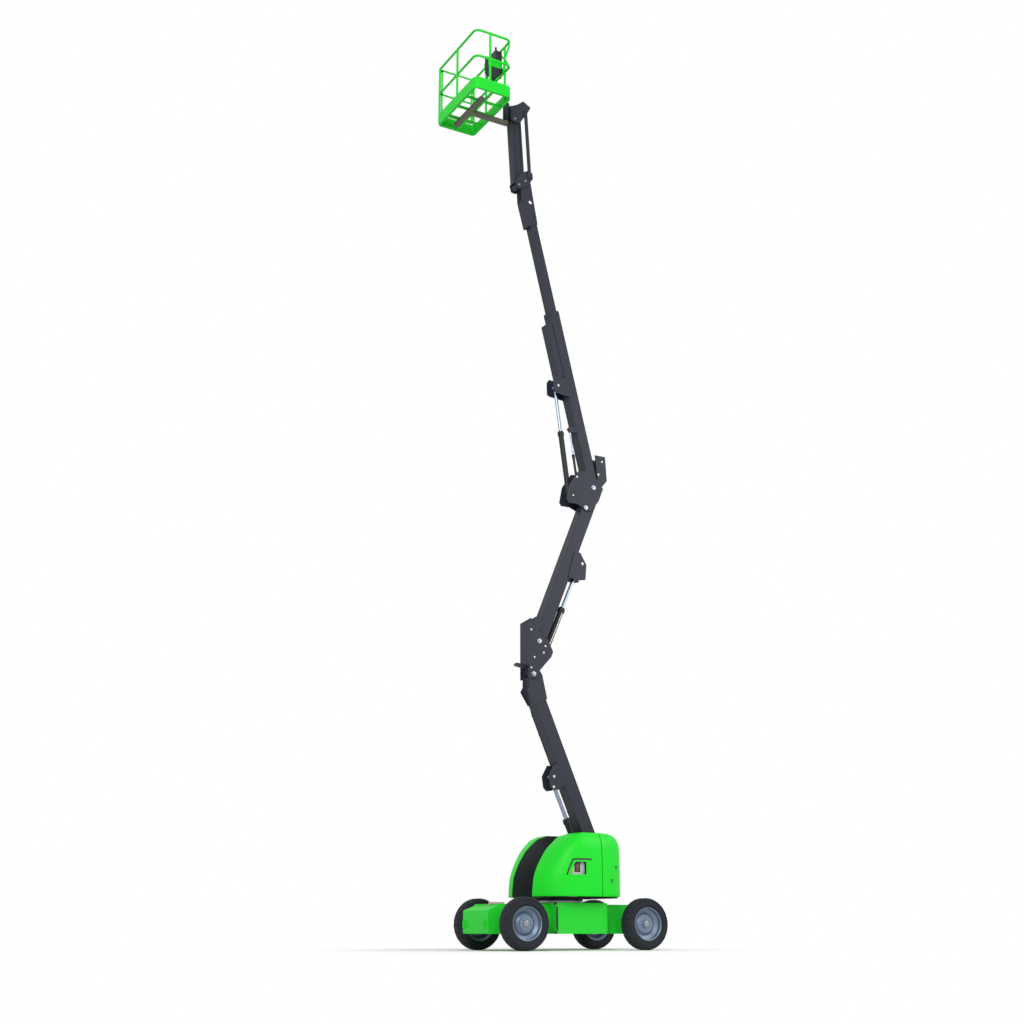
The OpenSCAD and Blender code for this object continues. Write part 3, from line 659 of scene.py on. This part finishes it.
surround()
# Painted shade: a flattened near-black bead laid over the left hood stands for the shade in the
# groove that runs in front of and over the window. The hood's skin has no groove cut in it
groove = np.array([on_hood(x, z, -1.0) for x, _, z in smooth_path(
    [(318, 0, 1010), (282, 0, 1100), (236, 0, 1196), (206, 0, 1222), (60, 0, 1226),
     (-70, 0, 1226)], 10)])
piece("hood_groove_painted_shade", *swept(groove, 0.013, 12, 0.4), moulded, "hood_left", "moulded_black")

place("ground_panel_face", "turntable", [((142, 640, 1100), (258, 96, 196))], panel,
      "control_grey", 0.004)
place("ground_panel_blocks", "turntable", [((139, 690, 1118), (92, 10, 132))], moulded,
      "moulded_black", 0.003)
place("ground_panel_board", "turntable", [((139, 695, 1118), (42, 6, 104))], phenolic,
      "control_grey", 0.002)
# Painted shade: a thin near-black strip on each side box stands for the shade inside its upright
# slot
place("side_slot_shade_strip", "chassis", [((389, s * 544, 427), (26, 6, 318)) for s in (1, -1)],
      moulded, "moulded_black", 0.002)
piece("ground_panel_knobs", *join([
    turned([(0, 0.016), (0.012, 0.016), (0.018, 0.012), (0.02, 0.004)], here(x, 688, z),
           (0, 1, 0), 24) for x, z in ((238, 1040), (222, 1072))]), yellow, "turntable",
      "control_grey")
# Painted shade: near-black blocks at the top and bottom of each side slot and along its edge stand
# for the slot's shade
place("side_slot_shade_blocks", "chassis", [((420, s * 554, z), (54, 10, 30)) for s in (1, -1)
      for z in (628, 244)] + [((398, s * 553, 430), (22, 8, 250)) for s in (1, -1)], moulded,
      "moulded_black", 0.003)


def rear_hole_shade_caps():
    """Two near-black hollow caps with rims in the near half of the counterweight, standing for the
    shade inside two round holes: painted shade.
    """
    parts = []
    for x, z in ((-530, 1127), (-425, 940)):
        at, beside = on_hood(x, z), on_hood(x - 20, z)
        way = np.cross(beside - at, (0, 0, 1))
        way = way * np.sign(way[1]) / np.linalg.norm(way)
        parts.append(turned([(-0.004, 0.026), (0.003, 0.026), (0.005, 0.022), (0.001, 0.018),
                             (-0.002, 0.004)], at, way, 28))
    return piece("rear_hole_shade_caps", *join(parts), moulded, "turntable", "moulded_black")


rear_hole_shade_caps()


def liner_ribs():
    """Fine raised ribs on both channel walls, in the curve of the front edge."""
    parts = []
    for side in (1, -1):
        for inset, low in ((70, 760), (150, 800)):
            line = [(front * 1000 - inset, side * 278, z * 1000)
                    for z, front, _, _ in body_rows()[::4] if low < z * 1000 < 1560 - inset]
            parts.append(swept(smooth_path([here(*p) for p in line], 6), 0.004, 8))
    return piece("channel_ribs", *join(parts), moulded, "turntable", "moulded_black")


liner_ribs()


# Basket
# Height of the floor, middle of the floor along X, and half the floor's width
FLOOR, BX, HALF_W = 13085, 1503.5, 650.5

place("control_console", "basket", [((1266, 220, FLOOR + 996), (120, 320, 24), -0.1)],
      moulded, "moulded_black", 0.008)
place("control_front_plate", "basket", [((1370, 387, FLOOR + 655), (300, 12, 340))], moulded,
      "moulded_black", 0.006)
place("control_front_panel", "basket", [((1344, 395, FLOOR + 742), (236, 5, 150))], enamel,
      "paint_green", 0.002)
place("control_rear_panel", "basket", [((1198, 220, FLOOR + 850), (6, 250, 200))], enamel,
      "paint_green", 0.002)


def joystick(y):
    """A lever under a pleated boot: rings of falling radius up to a rounded grip."""
    boot = [(0, 0.026), (0.006, 0.028), (0.012, 0.021), (0.018, 0.023), (0.024, 0.016),
            (0.03, 0.017), (0.036, 0.008), (0.06, 0.008), (0.065, 0.015), (0.08, 0.018),
            (0.1, 0.017), (0.112, 0.01), (0.115, 0.003)]
    return turned(boot, here(1270, y, FLOOR + 1000), (0.1, 0, 1), 20)


piece("joysticks", *join([joystick(130), joystick(310)]), moulded, "basket", "moulded_black")
piece("platform_stop", *turned([(0, 0.014), (0.012, 0.014), (0.014, 0.026), (0.022, 0.026),
      (0.03, 0.018), (0.033, 0.006)], here(1270, 220, FLOOR + 1002), (0.1, 0, 1), 28), red,
      "basket", "control_grey")


def bent_tube(name, points, d, material=enamel, body="basket", slot="paint_green", steps=10):
    """A tube along a smooth path with closed ends."""
    path = smooth_path([here(*p) for p in points], steps)
    return piece(name, *swept(path, d / 2, 16), material, body, slot)


# Centre line of the rear rail along X, and of the right rail across Y
X0, RAIL_Y = BX - 321.5, -642
bent_tube("control_guard", [(X0 + 70, 4, FLOOR + 600), (X0 + 80, 2, FLOOR + 700),
          (X0 + 116, -8, FLOOR + 870), (X0 + 126, -6, FLOOR + 920),
          (X0 + 136, 10, FLOOR + 944), (X0 + 140, 34, FLOOR + 950),
          (X0 + 140, 56, FLOOR + 948)], 0.026)
bent_tube("lower_guard", [(X0, 40, FLOOR + 600), (X0 + 60, 44, FLOOR + 520),
          (X0 + 120, 60, FLOOR + 460), (X0 + 130, 90, FLOOR + 440), (X0 + 130, 350, FLOOR + 440),
          (X0 + 120, 380, FLOOR + 460), (X0 + 60, 396, FLOOR + 520), (X0, 400, FLOOR + 600)],
          0.026)
bent_tube("crossing_brace", [(X0, 250, FLOOR + 1064), (X0 + 6, 300, FLOOR + 990),
          (X0 + 10, 440, FLOOR + 840), (X0 + 8, 540, FLOOR + 700), (X0, 560, FLOOR + 604)],
          0.03)
bent_tube("crossing_brace_back", [(X0, 600, FLOOR + 1064), (X0 - 4, 560, FLOOR + 990),
          (X0 - 6, 440, FLOOR + 860), (X0 - 4, 400, FLOOR + 720), (X0, 390, FLOOR + 604)],
          0.03)
place("gate_latch", "gate", [((1800, RAIL_Y, FLOOR + 1040), (50, 34, 40)),
      ((1790, RAIL_Y, FLOOR + 600), (40, 32, 34))], black, "paint_black", 0.006)


def tread():
    """Raised diamond tread on the floor bars: short flattened beads crossed in pairs."""
    parts = []
    for i in range(5):
        y = -HALF_W + 15 + i * (2 * HALF_W - 30) / 4
        for j in range(9):
            x = BX - 300 + j * 75
            for turn in (0.7, -0.7):
                at = here(x + (12 if turn > 0 else -12), y, FLOOR + 38.6)
                way = np.array([math.cos(turn), math.sin(turn), 0]) * 0.012
                path = np.array([at - way, at - way * 0.3, at + way * 0.3, at + way])
                parts.append(swept(path, 0.0022, 6, 0.7))
    return piece("floor_tread", *join(parts), slate, "basket", "paint_slate")


tread()
held_hose("jib_hoses", "jib_arm", [(727, 50, 12060), (727, 64, 12080), (750, 64, 12500),
          (785, 64, 13000), (786, 50, 13030)], 0.016, (0.2, 0.5, 0.8))


# Stage, light and camera

def ground():
    """A floor disc of matt white paint that fades to nothing beyond the shadow's reach."""
    a = np.linspace(0, 2 * np.pi, 97)[:-1]
    r = np.array([0.01, 1.5, 3.0, 4.2])
    rows = np.stack([np.outer(r, np.cos(a)), np.outer(r, np.sin(a)),
                     np.full((4, 96), -0.001)], -1)
    verts, faces = grid(rows, close_u=True)
    mesh = bpy.data.meshes.new("studio_floor")
    mesh.from_pydata(verts.tolist(), [], [list(map(int, f)) for f in faces])
    obj = bpy.data.objects.new("studio_floor", mesh)
    bpy.context.collection.objects.link(obj)
    paint = bpy.data.materials.new("white_floor_paint")
    paint.use_nodes = True
    tree = paint.node_tree
    tree.nodes.clear()
    place = add(tree, "ShaderNodeTexCoord")
    reach = add(tree, "ShaderNodeVectorMath", {0: place.outputs["Object"]}, operation="LENGTH")
    fade = add(tree, "ShaderNodeMapRange", {"Value": reach.outputs["Value"]},
               interpolation_type="SMOOTHSTEP")
    fade.inputs["From Min"].default_value = 1.9
    fade.inputs["From Max"].default_value = 3.6
    matt = add(tree, "ShaderNodeBsdfDiffuse", Color=(0.92, 0.92, 0.92, 1))
    clear = add(tree, "ShaderNodeBsdfTransparent")
    both = add(tree, "ShaderNodeMixShader", {0: fade.outputs["Result"], 1: matt.outputs[0],
                                             2: clear.outputs[0]})
    add(tree, "ShaderNodeOutputMaterial", {"Surface": both.outputs[0]})
    mesh.materials.append(paint)
    return obj


ground()

world = bpy.data.worlds.new("studio")
bpy.context.scene.world = world
world.use_nodes = True
sky = world.node_tree
sky.nodes.clear()
path = add(sky, "ShaderNodeLightPath")
direct = add(sky, "ShaderNodeMath", {0: path.outputs["Is Camera Ray"],
                                     1: path.outputs["Is Glossy Ray"]}, operation="MAXIMUM")
seen = add(sky, "ShaderNodeMath", {0: direct.outputs[0], 1: path.outputs["Is Transmission Ray"]},
           operation="MAXIMUM")
fill = add(sky, "ShaderNodeBackground", Color=(1, 1, 1, 1), Strength=0.55)
white = add(sky, "ShaderNodeBackground", Color=(1, 1, 1, 1), Strength=1.0)
either = add(sky, "ShaderNodeMixShader", {0: seen.outputs[0], 1: fill.outputs[0],
                                          2: white.outputs[0]})
add(sky, "ShaderNodeOutputWorld", {"Surface": either.outputs[0]})


def lamp(name, at, target, size, power):
    """A square soft box aimed from one place at another."""
    light = bpy.data.lights.new(name, "AREA")
    light.shape, light.size, light.energy = "SQUARE", size, power
    obj = bpy.data.objects.new(name, light)
    bpy.context.collection.objects.link(obj)
    obj.location = at
    obj.rotation_euler = (Vector(target) - Vector(at)).to_track_quat("-Z", "Y").to_euler()


lamp("key_softbox", (15, 18, 15), (0, 0, 5), 11, 4050)
lamp("side_softbox", (-10, 9, 9), (0, 0, 5), 7, 900)

camera = bpy.data.cameras.new("camera")
camera.lens, camera.sensor_width, camera.sensor_fit = 49.76, 36, "HORIZONTAL"
camera.clip_end = 200
eye = bpy.data.objects.new("camera", camera)
bpy.context.collection.objects.link(eye)
eye.location = (10.707, 17.996, 0.271)
aim = Vector((-0.4916, -0.8708, math.tan(math.radians(16.46))))
eye.rotation_euler = aim.to_track_quat("-Z", "Y").to_euler()
bpy.context.scene.camera = eye
bpy.context.scene.view_settings.view_transform = "Standard"
